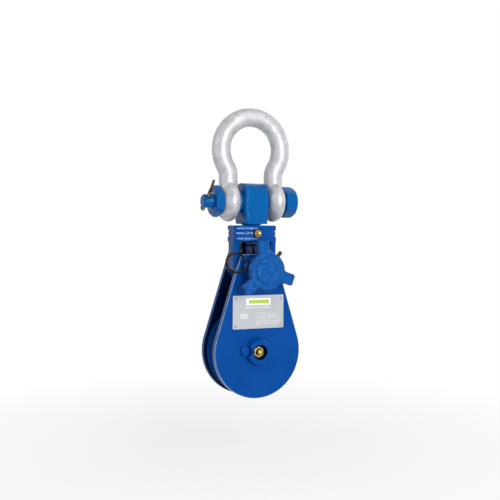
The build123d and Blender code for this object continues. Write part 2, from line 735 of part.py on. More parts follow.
with BuildPart() as axle:
    with BuildSketch(Plane.XZ.offset(-axle_shoulder)):
        with Locations((0, sheave_z)):
            Circle(axle_diameter / 2)
    extrude(amount=axle_shoulder + plate_face)
    with BuildSketch(Plane.XZ.offset(plate_face)):
        with Locations((0, sheave_z)):
            Circle(axle_head_diameter / 2)
    extrude(amount=axle_head_height)
    chamfer(axle.faces().sort_by(Axis.Y)[0].edges(), axle_chamfer)
    with BuildSketch(Plane.XZ.offset(-axle_nut_face - axle_end_beyond_nut)):
        with Locations((0, sheave_z)):
            Circle(axle_thread_diameter / 2)
    extrude(amount=axle_nut_height + axle_end_beyond_nut)
    chamfer(axle.faces().sort_by(Axis.Y)[-1].edges(), axle_chamfer)
    with BuildSketch(Plane.XZ.offset(recess_floor)):
        with Locations((0, sheave_z)):
            Circle(axle_recess_diameter / 2)
    extrude(amount=axle_recess_depth, mode=Mode.SUBTRACT)
    with BuildSketch(Plane.XZ.offset(plate_face)):
        with Locations((keeper_x, keeper_z)):
            Circle(keeper_head_diameter / 2 + keeper_notch_play)
    extrude(amount=axle_head_height, mode=Mode.SUBTRACT)
    with BuildSketch(Plane.XZ.offset(recess_floor - nipple_thread_depth)):
        with Locations((0, sheave_z)):
            Circle(nipple_thread / 2)
    extrude(amount=nipple_thread_depth, mode=Mode.SUBTRACT)
    with BuildSketch(Plane.XZ):
        with Locations((0, sheave_z)):
            Circle(grease_way / 2)
    extrude(amount=recess_floor, mode=Mode.SUBTRACT)
    with BuildSketch(Plane.XY.offset(sheave_z)):
        Circle(grease_way / 2)
    extrude(amount=axle_diameter, mode=Mode.SUBTRACT)
axle.part.label = "axle"
export_step(axle.part, "parts/axle.step")

axle_nipple = grease_nipple(Plane((0, -recess_floor, sheave_z), z_dir=(0, -1, 0)),
                            axle_nipple_hex, axle_nipple_ball)
axle_nipple.label = "axle_nipple"
export_step(axle_nipple, "parts/axle_nipple.step")

with BuildPart() as axle_nut:
    add(hexagon_head(Plane((0, axle_shoulder, sheave_z), x_dir=(1, 0, 0), z_dir=(0, 1, 0)),
                     axle_nut_hex, axle_nut_height, 0))
    with BuildSketch(Plane.XZ.offset(-axle_nut_face)):
        with Locations((0, sheave_z)):
            Circle(axle_thread_diameter / 2)
    extrude(amount=axle_nut_height, mode=Mode.SUBTRACT)
axle_nut.part.label = "axle_nut"
export_step(axle_nut.part, "parts/axle_nut.step")

# Sheave, turned about the axle: hub, thin web, and a rim with the rope groove
rim_radius = sheave_diameter / 2
rim_half = sheave_rim_width / 2
hub_half = sheave_hub_width / 2
web_half = rim_half - web_recess_depth
bush_radius = axle_diameter / 2 + running_play + bush_wall
groove_radius = rope_diameter / 2 + groove_play
root_radius = rim_radius - groove_depth
flank = radians(groove_flank)
flank_low_y = groove_radius * cos(flank)
flank_low_r = root_radius + groove_radius * (1 - sin(flank))
flank_top_y = flank_low_y + (rim_radius - flank_low_r) * tan(flank)
web_top_r = root_radius - web_rim_thickness

with BuildPart() as sheave:
    with BuildSketch(Plane((0, 0, sheave_z), x_dir=(0, 1, 0), z_dir=(1, 0, 0))):
        with BuildLine():
            ThreePointArc((-flank_low_y, flank_low_r), (0, root_radius),
                          (flank_low_y, flank_low_r))
            Polyline((flank_low_y, flank_low_r), (flank_top_y, rim_radius),
                     (rim_half, rim_radius), (rim_half, web_top_r), (web_half, web_top_r),
                     (web_half, sheave_hub_radius), (hub_half, sheave_hub_radius),
                     (hub_half, bush_radius), (-hub_half, bush_radius),
                     (-hub_half, sheave_hub_radius), (-web_half, sheave_hub_radius),
                     (-web_half, web_top_r), (-rim_half, web_top_r),
                     (-rim_half, rim_radius), (-flank_top_y, rim_radius),
                     (-flank_low_y, flank_low_r))
        make_face()
    revolve(axis=sheave_axis)
sheave.part.label = "sheave"
export_step(sheave.part, "parts/sheave.step")

with BuildPart() as sheave_bush:
    with BuildSketch(Plane.XZ.offset(-hub_half)):
        with Locations((0, sheave_z)):
            Circle(bush_radius)
            Circle(axle_diameter / 2 + running_play, mode=Mode.SUBTRACT)
    extrude(amount=sheave_hub_width)
sheave_bush.part.label = "sheave_bush"
export_step(sheave_bush.part, "parts/sheave_bush.step")

washer_face = inner_face - washer_play
with BuildPart() as side_washer_rear:
    with BuildSketch(Plane.XZ.offset(-washer_face)):
        with Locations((0, sheave_z)):
            Circle(side_washer_diameter / 2)
            Circle(axle_diameter / 2 + running_play, mode=Mode.SUBTRACT)
    extrude(amount=side_washer_thickness)
side_washer_rear.part.label = "side_washer_rear"
export_step(side_washer_rear.part, "parts/side_washer_rear.step")

with BuildPart() as side_washer_front:
    with BuildSketch(Plane.XZ.offset(washer_face - side_washer_thickness)):
        with Locations((0, sheave_z)):
            Circle(side_washer_diameter / 2)
            Circle(axle_diameter / 2 + running_play, mode=Mode.SUBTRACT)
    extrude(amount=side_washer_thickness)
side_washer_front.part.label = "side_washer_front"
export_step(side_washer_front.part, "parts/side_washer_front.step")

# Locking knob: hub, flange, three lugs and a low dome, cast in one
pin_depth = knob_foot + hub_length / 2
pin_way = Vector(-cos(radians(lock_pin_slope)), 0, sin(radians(lock_pin_slope)))
pin_middle = Vector(0, -pin_depth, clamp_z)
pin_place = Plane(pin_middle, x_dir=(0, 1, 0), z_dir=pin_way)
spring_pin_depth = flange_back + flange_thickness / 2
spring_pin_way = Vector(cos(radians(spring_pin_angle)), 0, sin(radians(spring_pin_angle)))
spring_pin_place = Plane(Vector(0, -spring_pin_depth, clamp_z), x_dir=(0, 1, 0),
                         z_dir=spring_pin_way)
screw_end = flange_front - screw_cap

with BuildPart() as locking_knob:
    with BuildSketch(Plane.XZ.offset(knob_foot)):
        with Locations((0, clamp_z)):
            Circle(hub_radius)
    extrude(amount=hub_length)
    with BuildSketch(Plane.XZ.offset(flange_back)):
        with Locations((0, clamp_z)):
            Circle(flange_radius)
    extrude(amount=flange_thickness)
    with BuildSketch(Plane.XZ.offset(flange_front - lug_thickness)) as knob_star:
        with Locations((0, clamp_z)):
            Circle(flange_radius)
            with PolarLocations(0, lug_count, start_angle=lug_start):
                Polygon((0, -lug_root_width / 2), (lug_reach, -lug_tip_width / 2),
                        (lug_reach, lug_tip_width / 2), (0, lug_root_width / 2))
        fillet(knob_star.vertices(), lug_rounding)
    extrude(amount=lug_thickness)
    fillet(locking_knob.faces().sort_by(Axis.Y)[0].edges(), knob_rounding)
    with BuildSketch(Plane.XZ.offset(flange_front)):
        with Locations((0, clamp_z)):
            Circle(dome_radius)
    extrude(amount=dome_height)
    fillet(locking_knob.faces().sort_by(Axis.Y)[0].edges(), dome_height * 0.8)
    with BuildSketch(Plane.XZ.offset(knob_foot)):
        with Locations((0, clamp_z)):
            Circle(clamp_diameter / 2 + running_play)
    extrude(amount=screw_end - knob_foot, mode=Mode.SUBTRACT)
    with BuildSketch(pin_place):
        Circle(lock_pin_diameter / 2 + lock_pin_play)
    extrude(amount=2 * hub_radius, both=True, mode=Mode.SUBTRACT)
    with BuildSketch(spring_pin_place):
        Circle(spring_pin_diameter / 2)
    extrude(amount=lug_reach, mode=Mode.SUBTRACT)
locking_knob.part.label = "locking_knob"
export_step(locking_knob.part, "parts/locking_knob.step")

with BuildPart() as clamp_screw:
    with BuildSketch(Plane.XZ.offset(clamp_screw_end_gap - inner_face)):
        with Locations((0, clamp_z)):
            Circle(clamp_diameter / 2)
    extrude(amount=inner_face - clamp_screw_end_gap + screw_end)
    chamfer(clamp_screw.edges().filter_by(GeomType.CIRCLE), screw_chamfer)
    with BuildSketch(pin_place):
        Circle(lock_pin_diameter / 2 + lock_pin_play)
    extrude(amount=clamp_diameter, both=True, mode=Mode.SUBTRACT)
    with BuildSketch(spring_pin_place.offset(spring_pin_seat)):
        Circle(spring_pin_diameter / 2)
    extrude(amount=clamp_diameter, mode=Mode.SUBTRACT)
clamp_screw.part.label = "clamp_screw"
export_step(clamp_screw.part, "parts/clamp_screw.step")

with BuildPart() as knob_roll_pin:
    with BuildSketch(spring_pin_place.offset(spring_pin_seat)):
        Circle(spring_pin_diameter / 2)
        Circle(spring_pin_diameter / 2 - spring_pin_wall, mode=Mode.SUBTRACT)
        with Locations((-spring_pin_diameter / 2, 0)):
            Rectangle(spring_pin_diameter, spring_pin_slot, mode=Mode.SUBTRACT)
    extrude(amount=spring_pin_reach - spring_pin_seat)
knob_roll_pin.part.label = "knob_roll_pin"
export_step(knob_roll_pin.part, "parts/knob_roll_pin.step")

# Lock pin, across the hub and the screw, with a drilled head outside the hub
lock_head_low = hub_radius + lock_head_start
ring_hinge_s = lock_head_low + lock_head_length / 2
ring_plane = Plane(pin_middle, x_dir=pin_way, z_dir=(0, -1, 0))
ring_hinge = ring_plane.from_local_coords(Vector(ring_hinge_s, 0, 0))

with BuildPart() as lock_pin:
    with BuildSketch(pin_place.offset(-hub_radius - lock_pin_past_hub)):
        Circle(lock_pin_diameter / 2)
    extrude(amount=hub_radius + lock_pin_past_hub + lock_head_low)
    chamfer(lock_pin.faces().sort_by(Axis(pin_middle, pin_way))[0].edges(), lock_pin_chamfer)
    with BuildSketch(pin_place.offset(lock_head_low)):
        Circle(lock_head_diameter / 2)
    extrude(amount=lock_head_length)
    chamfer(lock_pin.faces().sort_by(Axis(pin_middle, pin_way))[-1].edges(), lock_pin_chamfer)
    with BuildSketch(Plane(ring_hinge, x_dir=pin_way, z_dir=ring_plane.y_dir)):
        Circle(ring_wire / 2 + ring_hole_play)
    extrude(amount=lock_head_diameter, both=True, mode=Mode.SUBTRACT)
lock_pin.part.label = "lock_pin"
export_step(lock_pin.part, "parts/lock_pin.step")

# Pull ring: a round loop whose two ends close in on the pin head
loop_middle = ring_hinge_s + ring_loop_distance
shoulder_reach = hypot(ring_loop_distance, ring_shoulder)
shoulder_angle = degrees(atan2(ring_shoulder, -ring_loop_distance))
touch_angle = shoulder_angle - degrees(acos(ring_loop_radius / shoulder_reach))
touch_s = loop_middle + ring_loop_radius * cos(radians(touch_angle))
touch_t = ring_loop_radius * sin(radians(touch_angle))
shoulder_turn = degrees(atan2(touch_s - ring_hinge_s, touch_t - ring_shoulder))
bend_start_t = ring_shoulder - ring_bend_radius * tan(radians(shoulder_turn / 2))
ring_end_t = lock_head_diameter / 2 - ring_end_depth

with BuildPart() as pull_ring:
    with BuildLine(ring_plane) as ring_line:
        upper_end = Line((ring_hinge_s, ring_end_t), (ring_hinge_s, bend_start_t))
        upper_bend = JernArc(upper_end @ 1, upper_end % 1, ring_bend_radius, -shoulder_turn)
        Line(upper_bend @ 1, (touch_s, touch_t))
        CenterArc((loop_middle, 0), ring_loop_radius, touch_angle, -2 * touch_angle)
        lower_end = Line((ring_hinge_s, -ring_end_t), (ring_hinge_s, -bend_start_t))
        lower_bend = JernArc(lower_end @ 1, lower_end % 1, ring_bend_radius, shoulder_turn)
        Line(lower_bend @ 1, (touch_s, -touch_t))
    with BuildSketch(Plane(upper_end @ 0, x_dir=pin_way, z_dir=upper_end % 0)):
        Circle(ring_wire / 2)
    sweep(path=ring_line.wires()[0])
pull_ring.part.label = "pull_ring"
export_step(pull_ring.part, "parts/pull_ring.step")
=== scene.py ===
"""Looks of a snatch block that hangs under a bow shackle.

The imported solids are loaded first. Each operator then rounds or reshapes one group of
pieces and gives it its finish, and the last one sets up the floor, the lamps and the
camera. Lengths are in metres, in the frame of the solids.
"""

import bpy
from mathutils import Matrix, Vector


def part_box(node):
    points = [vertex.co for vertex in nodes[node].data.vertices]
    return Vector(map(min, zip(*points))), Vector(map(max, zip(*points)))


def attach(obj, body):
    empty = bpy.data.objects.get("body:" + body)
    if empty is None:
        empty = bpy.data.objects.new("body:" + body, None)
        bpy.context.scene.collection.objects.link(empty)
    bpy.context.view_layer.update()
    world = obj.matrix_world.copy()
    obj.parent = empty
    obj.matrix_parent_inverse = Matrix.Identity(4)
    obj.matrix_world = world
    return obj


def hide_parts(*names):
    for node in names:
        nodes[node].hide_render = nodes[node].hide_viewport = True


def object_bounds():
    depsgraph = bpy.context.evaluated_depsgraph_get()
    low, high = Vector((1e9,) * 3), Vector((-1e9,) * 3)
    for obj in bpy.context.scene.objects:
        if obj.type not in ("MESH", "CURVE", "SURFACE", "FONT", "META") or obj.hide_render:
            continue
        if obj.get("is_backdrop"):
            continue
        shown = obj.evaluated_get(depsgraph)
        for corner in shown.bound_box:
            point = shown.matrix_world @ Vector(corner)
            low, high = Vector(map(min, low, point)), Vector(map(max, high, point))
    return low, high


bl_info = {
    "name": "Snatch Block",
    "version": (1, 0, 0),
    "blender": (4, 5, 0),
    "location": "3D View > Sidebar > Snatch Block",
    "description": "Dresses a snatch block with a swinging side plate and a bow shackle",
    "category": "Object",
}

from math import cos, radians, sin

import bmesh
import bpy
from bpy.props import FloatProperty, FloatVectorProperty, PointerProperty
from bpy.types import Operator, Panel, PropertyGroup
from mathutils import Vector

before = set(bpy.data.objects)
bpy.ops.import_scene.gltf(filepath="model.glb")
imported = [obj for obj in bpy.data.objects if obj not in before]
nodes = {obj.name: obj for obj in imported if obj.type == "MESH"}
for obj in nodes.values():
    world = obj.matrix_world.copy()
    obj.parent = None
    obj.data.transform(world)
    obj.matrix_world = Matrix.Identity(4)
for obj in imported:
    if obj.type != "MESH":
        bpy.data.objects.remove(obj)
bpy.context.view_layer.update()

# Places of the solids
sheave_low, sheave_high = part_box("sheave")
label_low, label_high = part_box("name_plate")
crosshead_low, crosshead_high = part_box("crosshead")
nipple_low, nipple_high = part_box("crosshead_nipple")
axle_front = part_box("axle")[0].y
plate_gap = 2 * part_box("rear_plate")[0].y
sheave_middle = (sheave_low + sheave_high) / 2
label_middle = (label_low + label_high) / 2
nipple_middle = (nipple_low + nipple_high) / 2

# Gap between the plates, window and nipple pocket of the crosshead, and the depths where shade
# is painted
gap_margin = 0.0003
window_half = 0.0187
window_height = 0.02
window_drop = 0.0279
window_middle_z = crosshead_high.z - window_drop
nipple_pocket = 0.0051
pocket_dark_middle = 0.0045
pocket_dark_reach = 0.0035

# Head of the axle and its recess
boss_rise = 0.0038
boss_front_depth = 0.0015
axle_recess = 0.0083
recess_margin = 0.0001
recess_depth = 0.008
# Depth band of the recess that gets painted shade
recess_dark_middle = 0.0043
recess_dark_reach = 0.0036

# Groove of the sheave
groove_half = 0.0072
groove_floor = 0.034

# Painted highlights: streaks on the ribs of the crosshead and pale lines on the corners of the
# plates
rib_drops = (0.0033, 0.0086, 0.0142)
rib_streak_middle = -0.0115
rib_streak_half = 0.0115
rib_streak_height = 0.0008
rib_front_depth = 0.0085
corner_slant = 0.62
corner_slant_reach = 0.27

# Print on the name plate: height of a row, boxes (left, right, low, high) around its middle
label_row = 0.0023
lines_box = (-0.003, 0.0262, -0.0145, 0.0005)
underline_box = (-0.0155, 0.0150, 0.0038, 0.0056)
patch_box = (-0.0215, -0.0130, -0.0070, -0.0012)
header_box = (-0.0145, 0.0145, 0.0072, 0.0148)
stripe_box = (-0.0115, 0.0125, 0.0092, 0.0128)
print_white = (0.8, 0.81, 0.82)
header_white = (0.85, 0.86, 0.85)

# Colours of painted highlights, of rope wear in the sheave's groove, and of painted shade in
# gaps and recesses
painted_highlight_colour = (0.38, 0.55, 0.78)
rubbed_groove = (0.28, 0.29, 0.31)
gap_painted_shade = (0.0, 0.008, 0.035)
crosshead_painted_shade = (0.0, 0.003, 0.012)
recess_painted_shade = (0.001, 0.001, 0.002)
painted_shade_share = 0.85

# Colours of the inner and small pieces
# Dark copies of the blue paint for the nut and washer in the window, as painted shade
window_shaded_paint = (0.0, 0.02, 0.1)
window_shaded_paint_dark = (0.0, 0.004, 0.02)
overspray_shade = (0.02, 0.03, 0.08)
wire_brass = (0.38, 0.27, 0.1)
bare_steel = (0.42, 0.42, 0.43)
bearing_bronze = (0.55, 0.36, 0.18)
black_steel = (0.05, 0.05, 0.055)
rivet_metal = (0.4, 0.42, 0.46)

# Tints of the gloss
enamel_tint = (0.45, 0.72, 1.0)
casting_tint = (0.35, 0.7, 1.0)
window_tint = (0.8, 0.9, 1.0)

# How the solids are made into one mesh and rounded
merge_distance = 1e-6
flat_angle = radians(0.5)
rounded_from_angle = radians(32)
sharp_from_angle = radians(40)

# Camera
sensor_width = 36.0
camera_shift = (-0.0058, -0.0536)


class BlockPaint(PropertyGroup):
    """The colours, gloss and edges of the painted pieces, and the lumps of the knob."""

    paint: FloatVectorProperty(
        name="Paint", description="Royal blue of the plates, crosshead, axle and sheave",
        subtype="COLOR", size=3, min=0.0, max=1.0, default=(0.0, 0.072, 0.35))
    paint_shade: FloatVectorProperty(
        name="Paint Shade", description="Darker blue where the paint runs thick",
        subtype="COLOR", size=3, min=0.0, max=1.0, default=(0.0, 0.05, 0.26))
    head_paint: FloatVectorProperty(
        name="Head Paint", description="Lighter blue of the swivel head, its bolt and nut",
        subtype="COLOR", size=3, min=0.0, max=1.0, default=(0.0, 0.118, 0.38))
    knob_paint: FloatVectorProperty(
        name="Knob Paint", description="Lighter blue of the cast knob",
        subtype="COLOR", size=3, min=0.0, max=1.0, default=(0.0, 0.1, 0.36))
    gloss: FloatProperty(
        name="Paint Roughness", description="Roughness of the paint, low for a high gloss",
        min=0.0, max=1.0, default=0.17)
    edge: FloatProperty(
        name="Edge Rounding", description="Radius of the painted edges",
        unit="LENGTH", min=0.0, default=0.0009)
    cast_grain: FloatProperty(
        name="Casting Lumps", description="Height of the lumps on the cast knob",
        unit="LENGTH", min=0.0, default=0.0007)
    cast_grain_size: FloatProperty(
        name="Casting Lump Size", description="Width of the lumps on the cast knob",
        unit="LENGTH", min=0.0, default=0.0045)


class ShackleFinish(PropertyGroup):
    """The finish of the forged bow, the grease nipples, the pull ring and the label."""

    zinc: FloatVectorProperty(
        name="Zinc", description="Pale grey of the galvanised bow",
        subtype="COLOR", size=3, min=0.0, max=1.0, default=(0.64, 0.65, 0.66))
    zinc_shade: FloatVectorProperty(
        name="Zinc Shade", description="Darker grains in the zinc",
        subtype="COLOR", size=3, min=0.0, max=1.0, default=(0.42, 0.43, 0.45))
    forging_step: FloatProperty(
        name="Forging Mesh Step", description="Mesh size of the forged bow",
        unit="LENGTH", min=0.0002, default=0.0009)
    brass: FloatVectorProperty(
        name="Brass", description="Colour of the two grease nipples",
        subtype="COLOR", size=3, min=0.0, max=1.0, default=(0.72, 0.5, 0.16))
    oxide: FloatVectorProperty(
        name="Ring Oxide", description="Dark brown of the pull ring",
        subtype="COLOR", size=3, min=0.0, max=1.0, default=(0.042, 0.031, 0.019))
    ring_film: FloatProperty(
        name="Ring Film", description="Thickness of the oxide and oil on the pull ring",
        unit="LENGTH", min=0.0, default=0.00025)
    label: FloatVectorProperty(
        name="Label Metal", description="Silver of the name plate",
        subtype="COLOR", size=3, min=0.0, max=1.0, default=(0.48, 0.5, 0.53))
    label_bar: FloatVectorProperty(
        name="Label Bar", description="Green-yellow of the bar in the label's header",
        subtype="COLOR", size=3, min=0.0, max=1.0, default=(0.42, 0.6, 0.04))


class Studio(PropertyGroup):
    """The camera, the lamps and the floor."""

    view_turn: FloatProperty(
        name="View Turn", description="How far the camera stands to the left of the front",
        subtype="ANGLE", default=radians(24.96))
    view_roll: FloatProperty(
        name="View Roll", description="How far the camera leans",
        subtype="ANGLE", default=radians(0.405))
    distance: FloatProperty(
        name="Distance", description="From the camera to the axis of the sheave",
        unit="LENGTH", default=0.9915)
    camera_height: FloatProperty(
        name="Camera Height", description="Height of the camera over the axis of the sheave",
        unit="LENGTH", default=0.139)
    camera_side: FloatProperty(
        name="Camera Side Step", description="How far the camera stands right of the sheave",
        unit="LENGTH", default=0.00169)
    lens: FloatProperty(
        name="Focal Length", description="Focal length on a 36 mm sensor, in millimetres",
        default=64.79)
    floor_drop: FloatProperty(
        name="Floor Drop", description="How far the floor lies under the block",
        unit="LENGTH", default=0.06)
    world_light: FloatProperty(
        name="World Light", description="Strength of the even light from all sides",
        min=0.0, default=0.3)
    key_power: FloatProperty(
        name="Key Power", description="Power of the tall front lamp, in watts", default=9.4)
    fill_power: FloatProperty(
        name="Fill Power", description="Power of the two side lamps, in watts", default=1.6)
    glint_power: FloatProperty(
        name="Glint Power", description="Power of the small high lamp, in watts", default=1.8)


def add_node(material, kind, **settings):
    """Adds a shader node to a material and sets its properties."""
    node = material.node_tree.nodes.new(kind)
    for name, value in settings.items():
        setattr(node, name, value)
    return node


def join(material, output, socket):
    """Links an output to an input socket of the same material."""
    material.node_tree.links.new(output, socket)


def new_material(name, roughness, metallic=0.0):
    """A material with one Principled shader and a texture space in metres."""
    material = bpy.data.materials.new(name)
    material.use_nodes = True
    shader = material.node_tree.nodes["Principled BSDF"]
    shader.inputs["Roughness"].default_value = roughness
    shader.inputs["Metallic"].default_value = metallic
    place = add_node(material, "ShaderNodeTexCoord").outputs["Object"]
    return material, shader, place


def set_gloss(shader, level, tint):
    """Sets how strongly a surface mirrors, and in what tint."""
    shader.inputs["Specular IOR Level"].default_value = level
    shader.inputs["Specular Tint"].default_value = (*tint, 1.0)


def split(material, vector):
    """The X, Y and Z of a place or direction."""
    node = add_node(material, "ShaderNodeSeparateXYZ")
    join(material, vector, node.inputs["Vector"])
    return node.outputs


def noise(material, place, size, detail=2.0):
    """Noise whose lumps are about as wide as size."""
    texture = add_node(material, "ShaderNodeTexNoise")
    texture.inputs["Scale"].default_value = 1.0 / size
    texture.inputs["Detail"].default_value = detail
    join(material, place, texture.inputs["Vector"])
    return texture.outputs["Fac"]


def remap(material, value, low, high, new_low, new_high):
    """Stretches the part of a value between low and high to a new range, and clips it."""
    mapped = add_node(material, "ShaderNodeMapRange")
    join(material, value, mapped.inputs["Value"])
    for name, number in (("From Min", low), ("From Max", high),
                         ("To Min", new_low), ("To Max", new_high)):
        mapped.inputs[name].default_value = number
    return mapped.outputs["Result"]


def blend_colours(material, factor, first, second):
    """Mixes two colours, each a tuple or the output of a node, by a factor."""
    mixed = add_node(material, "ShaderNodeMix", data_type="RGBA")
    join(material, factor, mixed.inputs["Factor"])
    for socket, colour in ((mixed.inputs["A"], first), (mixed.inputs["B"], second)):
        if isinstance(colour, bpy.types.NodeSocket):
            join(material, colour, socket)
        else:
            socket.default_value = (*colour, 1.0)
    return mixed.outputs["Result"]


def combine(material, operation, first, second):
    """One sum, difference or other function of two values."""
    maths = add_node(material, "ShaderNodeMath", operation=operation)
    for socket, value in zip(maths.inputs, (first, second)):
        if isinstance(value, bpy.types.NodeSocket):
            join(material, value, socket)
        else:
            socket.default_value = value
    return maths.outputs["Value"]


def product(material, first, *others):
    """The product of two or more values or masks."""
    result = first
    for value in others:
        result = combine(material, "MULTIPLY", result, value)
    return result


def add_bump(material, shader, height, depth):
    """Raises the surface by a height of 0 to 1, times depth in metres."""
    bump = add_node(material, "ShaderNodeBump")
    bump.inputs["Strength"].default_value = 1.0
    bump.inputs["Distance"].default_value = depth
    join(material, height, bump.inputs["Height"])
    join(material, bump.outputs["Normal"], shader.inputs["Normal"])


def within(material, value, middle, reach):
    """A mask that is 1 where a value is no further than reach from middle."""
    test = combine(material, "COMPARE", value, middle)
    test.node.inputs[2].default_value = reach
    return test


def off_axis(material, parts, height):
    """The distance from an axis that runs from front to back at a height."""
    up = combine(material, "SUBTRACT", parts["Z"], height)
    squares = combine(material, "ADD", product(material, parts["X"], parts["X"]),
                      product(material, up, up))
    return combine(material, "SQRT", squares, 0.0)


def between_plates(material, place):
    """A mask for the faces that look into the gap between the two plates, painted dark as
    painted shade.
    """
    return within(material, split(material, place)["Y"], 0.0, plate_gap / 2 + gap_margin)


def inside_crosshead(material, place):
    """A mask for the window of the crosshead and the pocket of its grease nipple, painted dark
    as painted shade.
    """
    parts = split(material, place)
    window = product(material, within(material, parts["X"], 0.0, window_half),
                     within(material, parts["Z"], window_middle_z, window_height / 2))
    deep = within(material, parts["Y"], crosshead_low.y + pocket_dark_middle,
                  pocket_dark_reach)
    pocket = combine(material, "LESS_THAN", off_axis(material, parts, nipple_middle.z),
                     nipple_pocket)
    return combine(material, "MAXIMUM", window, product(material, pocket, deep))


def inside_axle(material, place):
    """A mask for the recess in the head of the axle, painted dark as painted shade."""
    parts = split(material, place)
    deep = within(material, parts["Y"], axle_front - boss_rise + recess_dark_middle,
                  recess_dark_reach)
    recess = combine(material, "LESS_THAN", off_axis(material, parts, sheave_middle.z),
                     axle_recess)
    return product(material, recess, deep)


def painted_corner_highlights(material, place):
    """A mask for the rounded corners of a plate, painted pale as a painted highlight."""
    facing = add_node(material, "ShaderNodeTexCoord").outputs["Normal"]
    slant = combine(material, "ABSOLUTE", split(material, facing)["Y"], 0.0)
    corner = within(material, slant, corner_slant, corner_slant_reach)
    patchy = remap(material, noise(material, place, size=0.004, detail=3.0),
                   0.3, 0.6, 0.35, 0.8)
    return product(material, corner, patchy)


def painted_rib_highlights(material, place):
    """A mask for the painted highlight streaks on the crests of the crosshead's ribs."""
    parts = split(material, place)
    stretch = add_node(material, "ShaderNodeMapping")
    stretch.inputs["Scale"].default_value = (0.35, 1.0, 1.6)
    join(material, place, stretch.inputs["Vector"])
    broken = remap(material, noise(material, stretch.outputs["Vector"], size=0.0011, detail=3.0),
                   0.42, 0.55, 0.0, 0.9)
    crests = 0.0
    for drop in rib_drops:
        crest = within(material, parts["Z"], crosshead_high.z - drop, rib_streak_height)
        crests = combine(material, "MAXIMUM", crests, crest)
    front = combine(material, "LESS_THAN", parts["Y"], crosshead_low.y + rib_front_depth)
    across = within(material, parts["X"], rib_streak_middle, rib_streak_half)
    return product(material, crests, front, across, broken)


def gloss_paint(name, colour, shade, roughness, painted_shade_mask=None, painted_shade_colour=gap_painted_shade,
                painted_highlight_mask=None, ripple=0.00006, level=0.17, tint=enamel_tint):
    """Gloss enamel with a fine orange peel, with painted shade and painted highlights where
    their masks say.
    """
    material, shader, place = new_material(name, roughness)
    patches = remap(material, noise(material, place, size=0.03, detail=3.0),
                    0.35, 0.75, 0.0, 0.55)
    tone = blend_colours(material, patches, colour, shade)
    # Painted shade: the masked faces are mixed toward a dark colour
    if painted_shade_mask:
        share = product(material, painted_shade_mask(material, place), painted_shade_share)
        tone = blend_colours(material, share, tone, painted_shade_colour)
    # Painted highlight: the masked places are mixed toward a pale blue
    if painted_highlight_mask:
        tone = blend_colours(material, painted_highlight_mask(material, place), tone, painted_highlight_colour)
    join(material, tone, shader.inputs["Base Color"])
    sheen = remap(material, noise(material, place, size=0.006), 0.3, 0.7,
                  roughness * 0.8, roughness * 1.25)
    join(material, sheen, shader.inputs["Roughness"])
    add_bump(material, shader, noise(material, place, size=0.0022), depth=ripple)
    set_gloss(shader, level, tint)
    return material


def cast_paint(name, colour, shade, roughness):
    """Gloss enamel over a rough casting, with pits and lumps of two sizes."""
    material, shader, place = new_material(name, roughness)
    lumps = noise(material, place, size=0.0045, detail=3.0)
    pits = noise(material, place, size=0.0016, detail=1.0)
    tone = remap(material, lumps, 0.35, 0.6, 0.0, 0.8)
    join(material, blend_colours(material, tone, shade, colour), shader.inputs["Base Color"])
    height = combine(material, "ADD", lumps, product(material, pits, 0.3))
    add_bump(material, shader, height, depth=0.0016)
    set_gloss(shader, level=0.25, tint=casting_tint)
    return material


def galvanised(name, colour, shade):
    """Hot-dip zinc: pale, half bright, with fine grains and soft patches."""
    material, shader, place = new_material(name, roughness=0.42, metallic=0.5)
    grain = add_node(material, "ShaderNodeTexVoronoi")
    grain.inputs["Scale"].default_value = 420.0
    join(material, place, grain.inputs["Vector"])
    mottle = remap(material, noise(material, place, size=0.007, detail=4.0),
                   0.3, 0.7, 0.0, 0.7)
    spangle = remap(material, grain.outputs["Distance"], 0.0, 0.9, 0.0, 0.35)
    tone = combine(material, "ADD", mottle, spangle)
    join(material, blend_colours(material, tone, colour, shade), shader.inputs["Base Color"])
    sheen = remap(material, noise(material, place, size=0.004, detail=3.0),
                  0.3, 0.7, 0.4, 0.55)
    join(material, sheen, shader.inputs["Roughness"])
    add_bump(material, shader, noise(material, place, size=0.0014, detail=3.0), depth=0.00022)
    shader.inputs["Specular IOR Level"].default_value = 0.2
    return material


def machined(name, colour, roughness, stain=0.6):
    """Turned or drawn metal: a fine grain and a slow change of tone."""
    material, shader, place = new_material(name, roughness, metallic=1.0)
    dark = tuple(channel * stain for channel in colour)
    tone = remap(material, noise(material, place, size=0.004, detail=3.0),
                 0.35, 0.7, 0.0, 1.0)
    join(material, blend_colours(material, tone, colour, dark), shader.inputs["Base Color"])
    sheen = remap(material, noise(material, place, size=0.0015), 0.3, 0.7,
                  roughness * 0.75, roughness * 1.3)
    join(material, sheen, shader.inputs["Roughness"])
    add_bump(material, shader, noise(material, place, size=0.0006), depth=0.00003)
    return material


def label_box(material, across, up, box):
    """A mask that is 1 inside a box (left, right, low, high) around the label's middle."""
    left, right, low, high = box
    return product(material,
                   within(material, across, (left + right) / 2, (right - left) / 2),
                   within(material, up, (low + high) / 2, (high - low) / 2))


